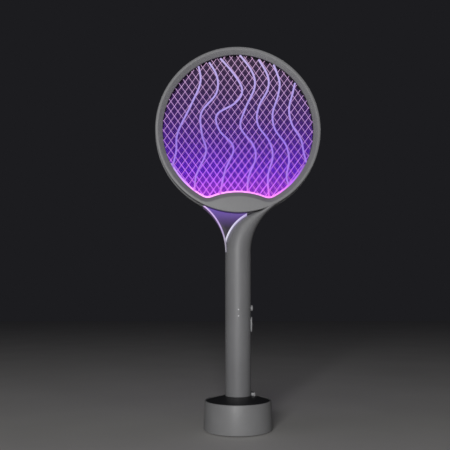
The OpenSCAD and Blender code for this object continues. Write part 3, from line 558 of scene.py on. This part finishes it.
lens_low, lens_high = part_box("neck_light_lens")
strip_low, strip_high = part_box("left_light_strip")
# painted glow on the lens, dark at the bottom and brightest at the top
lens_lit = lit_by_height("violet_lens_painted_glow", lens_low.z, lens_high.z,
                         [(0.0, "#120c16"), (0.35, "#1d1326"), (0.6, "#43286c"), (1.0, "#6a48b0")], 1.0,
                         "#0e0a14", 0.55, 0.05)
# painted glow on the strips, with two different gradients; the left one is dimmed on its sides as painted
# shade
left_lit = lit_by_height("left_strip_painted_glow", strip_low.z, strip_high.z,
                         [(0.0, "#3a3840"), (0.25, "#7a7088"), (0.6, "#a884d0"), (1.0, "#be92dd")], 0.9,
                         "#6c6a76", 0.35, 0.05, 0.15)
right_lit = lit_by_height("right_strip_painted_glow", strip_low.z, strip_high.z,
                          [(0.0, "#6a6474"), (0.4, "#c2bfd4"), (1.0, "#a188cc")], 0.9,
                          "#6c6a76", 0.35, 0.05)
finished(from_frame("neck_light_lens", 0.3 * MM), "neck_lens", lens_lit, "swatter",
         ["neck_light_lens"], 40)
finished(from_frame("left_light_strip", 0.5 * MM, 3), "left_neck_strip", left_lit, "swatter",
         ["left_light_strip"], 40)
finished(from_frame("right_light_strip", 0.5 * MM, 3), "right_neck_strip", right_lit, "swatter",
         ["right_light_strip"], 40)
finish_node("neck_led_board", circuit_board)


# ---- Head: front and rear shells ----
# Two rings of grey ABS screwed together from behind. The front one has a sloped lip round the opening, which
# follows a circle, two round corners and a hump over the lower plate.
open_r = head_r - 9 * MM
hump_r = 92 * MM
lobe_r = 14 * MM
hump_z = -(head_r - 26 * MM + hump_r)
lobe_z = ((hump_r + lobe_r) ** 2 - (open_r - lobe_r) ** 2 - hump_z ** 2) / (-2 * hump_z)
lobe_x = math.sqrt((open_r - lobe_r) ** 2 - lobe_z ** 2)
lip_w = 5.5 * MM
lip_d = 3 * MM


def opening_outline(off):
    """The opening's outline about the head's centre, moved outwards by off: edge, corner, hump, corner."""
    to_lobe = math.atan2(lobe_z, lobe_x)
    to_hump = math.atan2(hump_z - lobe_z, lobe_x)
    points = []
    for x, z, r, a0, a1, steps in (
        (0, 0, open_r + off, to_lobe, math.pi - to_lobe, 168),
        (-lobe_x, lobe_z, lobe_r + off, math.pi - to_lobe, math.tau + to_hump, 12),
        (0, hump_z, hump_r - off, math.pi + to_hump, -to_hump, 36),
        (lobe_x, lobe_z, lobe_r + off, math.pi - to_hump, math.tau + to_lobe, 12),
    ):
        for k in range(steps):
            a = a0 + (a1 - a0) * k / steps
            points.append(Vector((x + r * math.cos(a), 0, z + r * math.sin(a))))
    return points


def at_depth(points, y):
    return [Vector((p.x, y, p.z + head_z)) for p in points]


def circle_outline(r):
    """A circle with one point for each point of the opening's outline, in the same direction."""
    return [p.normalized() * r for p in opening_outline(lip_w)]


def head_ring(r, depth, seam, rounding):
    """One shell of the head; depth and seam are where its face and its joint lie, both as Y."""
    inward = math.copysign(1, seam - depth)
    behind_lip = depth + inward * (lip_d + 1.5 * MM)
    bm = bmesh.new()
    stages = [
        (circle_outline(r), seam), (circle_outline(r), depth), (opening_outline(lip_w), depth),
        (opening_outline(0), depth + inward * lip_d), (opening_outline(0), behind_lip),
        (circle_outline(r - 2 * MM), behind_lip), (circle_outline(r - 2 * MM), seam),
    ]
    # bridged while they stand well apart, because loops in one plane join crosswise
    loops = [loop_of(bm, at_depth(points, k * 10 * MM)) for k, (points, y) in enumerate(stages)]
    for first, second in zip(loops, loops[1:] + loops[:1]):
        bmesh.ops.bridge_loops(bm, edges=first + second)
    for loop, (points, y) in zip(loops, stages):
        for corner in {v for e in loop for v in e.verts}:
            corner.co.y = y
    bmesh.ops.recalc_face_normals(bm, faces=bm.faces)
    bmesh.ops.bevel(bm, geom=loops[1], offset=rounding, offset_type="OFFSET", segments=8, profile=0.5,
                    affect="EDGES", material=-1)
    bmesh.ops.bevel(bm, geom=[e for e in loops[2] + loops[3] if e.is_valid], offset=0.45 * MM,
                    offset_type="OFFSET", segments=3, profile=0.5, affect="EDGES", material=-1)
    bmesh.ops.bevel(bm, geom=[e for e in loops[0] if e.is_valid], offset=0.25 * MM, offset_type="OFFSET",
                    segments=2, profile=0.5, affect="EDGES", material=-1)
    return bm


finished(head_ring(head_r, face_low.y, face_high.y, 1.2 * MM), "head_front_ring", grey_abs, "swatter",
         ["front_frame"], 50)
# a hair narrower than the frame's rear shell, so that its rounding stays inside the frame's box
rear_ring = finished(head_ring(rim_r - 0.025 * MM, rim_high.y, face_high.y, 4 * MM), "head_rear_ring",
                     grey_abs, "swatter", ["rear_frame"], 50)


# ---- Head screws ----
# Cross-head screws sunk into the rear shell, seven round the rim and one behind the lower plate.
post_r = head_r - 4 * MM
screw_places = [(post_r * math.cos(a), post_r * math.sin(a))
                for a in map(math.radians, (90, 40, -10, -50, 140, 190, 230))]
screw_places.append((0, -(head_r - 7.5 * MM)))
bm = bmesh.new()
for x, z in screw_places:
    bmesh.ops.create_cone(bm, cap_ends=True, segments=32, radius1=2.1 * MM, radius2=2.1 * MM, depth=3.4 * MM,
                          matrix=Matrix.Translation((x, rim_high.y, head_z + z))
                          @ Matrix.Rotation(math.radians(90), 4, "X"))
cut_away(rear_ring, bm)
finish_node("head_screws", plated_steel)


# ---- Killing grid and guard meshes ----
# Between two coarse guard meshes of coated wire stands the live net: crossed steel wires under 2 mm apart.
# The light of the ultraviolet lamps below is painted on them as a glow, from pink at the bottom, through
# blue-violet, to a dim lavender; the rear guard mesh is a darker copy of the front one, its glow cut down as
# painted shade.
edge = opening_outline(0)
edge_turn = np.unwrap([math.atan2(p.z, p.x) for p in edge])
edge_order = np.argsort(np.mod(edge_turn, math.tau))
edge_angles = np.mod(edge_turn, math.tau)[edge_order]
edge_radii = np.array([p.length for p in edge])[edge_order]


def inside(x, z, margin=0.0):
    """Whether a point about the head's centre is inside the opening, widened by margin."""
    reach = np.interp(math.atan2(z, x) % math.tau, edge_angles, edge_radii, period=math.tau)
    return math.hypot(x, z) < reach + margin


def crossed_wires(cell_w, cell_h, wire, y, sides, margin):
    """Two families of straight wires that cross in diamonds of that size, cut to the opening."""
    bm = bmesh.new()
    span = math.hypot(cell_w, cell_h)
    count = int(2 * open_r / cell_w + 2 * open_r / cell_h)
    for lean in (-1, 1):
        along = Vector((cell_w * lean, 0, cell_h)) / span
        for k in range(-count, count + 1):
            foot = Vector(((k + 0.5) * cell_w, 0, 0))
            nearest = -foot.dot(along)
            reach = (open_r + margin + 1 * MM) ** 2 - (foot + along * nearest).length_squared
            if reach <= 0:
                continue
            steps = math.ceil(math.sqrt(reach) / MM)
            start = None
            for i in range(-steps, steps + 1):
                t = nearest + i * MM
                spot = foot + along * t
                within = inside(spot.x, spot.z, margin)
                if within and start is None:
                    start = t
                if not within and start is not None:
                    if t - start > 2 * MM:
                        middle = foot + along * (start + t) / 2
                        middle_at = Matrix.Translation((middle.x, y + lean * wire * 0.2, head_z + middle.z))
                        bmesh.ops.create_cone(
                            bm, cap_ends=True, segments=sides, radius1=wire / 2, radius2=wire / 2,
                            depth=t - start,
                            matrix=middle_at @ along.to_track_quat("Z", "Y").to_matrix().to_4x4())
                    start = None
    return bm


glow_low = head_z - 86 * MM
glow_high = head_z + 96 * MM
# painted glow: the lamps' light as emission on the wires; the rear copy is darker and glows far less, as
# painted shade
painted_glow_on_wires = [(0.0, "#ff82ff"), (0.12, "#e682ff"), (0.35, "#c484ea"), (0.65, "#cc9ce0"), (1.0, "#d4aad4")]
front_wire_lit = lit_by_height("front_wire_painted_glow", glow_low, glow_high, painted_glow_on_wires, 0.92, "#4a4452",
                               0.4, 0.08)
rear_wire_shaded_glow = lit_by_height("rear_wire_painted_shade", glow_low, glow_high, painted_glow_on_wires, 0.12, "#2a2632", 0.4, 0.08)
net_lit = lit_by_height("steel_net_painted_glow", glow_low, glow_high, [
    (0.0, "#c444ff"), (0.1, "#9c30f2"), (0.2, "#701ee6"), (0.4, "#581cac"), (0.55, "#4a2080"),
    (0.75, "#3e235c"), (1.0, "#3f2b46")], 1.7, "#141216", 0.4, 0.1)
for name, node, lit in (("front_guard_wires", "front_guard_mesh", front_wire_lit),
                        ("rear_guard_wires", "rear_guard_mesh", rear_wire_shaded_glow)):
    low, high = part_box(node)
    finished(crossed_wires(9 * MM, 12.4 * MM, 0.65 * MM, (low.y + high.y) / 2, 8, 0.2 * MM), name, lit,
             "swatter", [node], 40)
low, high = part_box("high_voltage_grid")
finished(crossed_wires(2.25 * MM, 3.1 * MM, 0.34 * MM, 0, 4, 0.1 * MM), "live_wire_net", net_lit, "swatter",
         ["high_voltage_grid"], 40)
finish_node("front_spacer", black_abs)
finish_node("rear_spacer", black_abs)
finish_node("rear_clamp_ring", black_abs)


# ---- Wave ribs ----
# Seven flowing ribs of opal plastic stand in front of the front guard mesh; the light they pick up from it
# is painted on as a glow, pink at the bottom and pale lavender higher up.
# painted glow, pink at the bottom and pale lavender at the top
rib_lit = lit_by_height("opal_ribs_painted_glow", glow_low, glow_high, [
    (0.0, "#ff60ff"), (0.12, "#b070f4"), (0.4, "#9670e8"), (0.72, "#b7a2f2"), (1.0, "#c8b8f0")], 0.8,
    "#4e4860", 0.45, 0.05)
rib_paths = [
    [(-53, 90), (-48, 62), (-60, 32), (-77, -4), (-79, -28), (-86, -56)],
    [(-46, 98), (-28, 71), (-28, 47), (-47, 22), (-46, -6), (-41, -28), (-54, -60), (-55, -90)],
    [(-36, 105), (-8, 75), (5, 52), (-4, 35), (-27, 20), (-24, 0), (-6, -22), (-17, -52), (-24, -86)],
    [(-6, 105), (16, 78), (21, 56), (9, 28), (3, 4), (19, -18), (22, -36), (13, -60), (12, -86)],
    [(16, 105), (36, 74), (38, 54), (26, 30), (25, 8), (40, -14), (44, -34), (38, -58), (40, -92)],
    [(38, 100), (52, 66), (51, 46), (44, 22), (47, 2), (61, -18), (65, -38), (62, -60), (70, -80)],
    [(76, 76), (70, 50), (65, 28), (69, 8), (80, -10), (84, -28), (90, -50)],
]
# the paths above are in millimetres for an opening of 96 mm radius
rib_scale = open_r / 96


def smooth_path(points, steps=10):
    """Points closer together on the smooth curve through those points."""
    path = []
    for i in range(len(points) - 1):
        near = (max(i - 1, 0), i, i + 1, min(i + 2, len(points) - 1))
        a, b, c, d = (Vector(points[j]) * rib_scale for j in near)
        for k in range(steps):
            t = k / steps
            path.append(0.5 * (2 * b + (c - a) * t + (2 * a - 5 * b + 4 * c - d) * t ** 2
                               + (3 * b - a - 3 * c + d) * t ** 3))
    return path + [Vector(points[-1]) * rib_scale]


def wave_ribs(y, width, thick):
    """All the ribs, as flattened round bars about that depth."""
    curve = bpy.data.curves.new("ribs", "CURVE")
    curve.dimensions = "3D"
    curve.bevel_depth = width / 2
    curve.bevel_resolution = 3
    curve.use_fill_caps = True
    for points in rib_paths:
        path = [p for p in smooth_path(points) if inside(p.x, p.y, 0.3 * MM)]
        spline = curve.splines.new("POLY")
        spline.points.add(len(path) - 1)
        for point, p in zip(spline.points, path):
            point.co = (p.x, 0, p.y + head_z, 1)
    bar = place("ribs", curve)
    mesh = bpy.data.meshes.new_from_object(bar.evaluated_get(bpy.context.evaluated_depsgraph_get()))
    bpy.data.objects.remove(bar)
    bm = bmesh.new()
    bm.from_mesh(mesh)
    bpy.data.meshes.remove(mesh)
    bmesh.ops.remove_doubles(bm, verts=bm.verts, dist=0.001 * MM)
    bmesh.ops.scale(bm, vec=(1, thick / width, 1), verts=bm.verts)
    bmesh.ops.translate(bm, vec=(0, y, 0), verts=bm.verts)
    bmesh.ops.recalc_face_normals(bm, faces=bm.faces)
    return bm


rib_w = 2.5 * MM
rib_t = 1.8 * MM
rib_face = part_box("front_ribs")[0].y
finished(wave_ribs(rib_face + rib_t / 2, rib_w, rib_t), "front_wave_ribs", rib_lit, "swatter",
         ["front_ribs"], 60)


# ---- Light guide and ultraviolet lamps ----
# A clear acrylic bar along the lower edge spreads the light of nine small lamps behind the lower plate; that
# light is painted on the bar as a glow, pink in the middle and dark violet at its ends.
guide_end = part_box("light_guide")[1].x
# painted glow: bright pink in the middle, fading to dark violet at the guide's ends
finish, tree, where = new_finish("acrylic_guide_painted_glow")
sideways = add_node(tree, "ShaderNodeSeparateXYZ", {"Vector": where}).outputs["X"]
from_middle = add_node(tree, "ShaderNodeMath", {0: sideways}, operation="ABSOLUTE").outputs[0]
share = add_node(tree, "ShaderNodeMapRange", {"Value": from_middle, "From Min": 0.0, "From Max": guide_end})
close_finish(tree, add_node(tree, "ShaderNodeBsdfPrincipled", {
    "Base Color": srgb("#8a5c96"), "Roughness": 0.3, "IOR": 1.49, "Emission Strength": 1.1,
    "Emission Color": colour_band(tree, share.outputs["Result"], [
        (0.0, "#ff7aff"), (0.55, "#f56cf8"), (0.8, "#a03ce8"), (1.0, "#3a1478")]),
}))
finish_node("light_guide", finish)
finish_node("head_led_board", circuit_board)
finish_node("head_uv_leds", lit_by_height("ceramic_led_package", glow_low, glow_high,
                                         [(0.0, "#b070ff"), (1.0, "#b070ff")], 1.0, "#e8e4f4", 0.3))
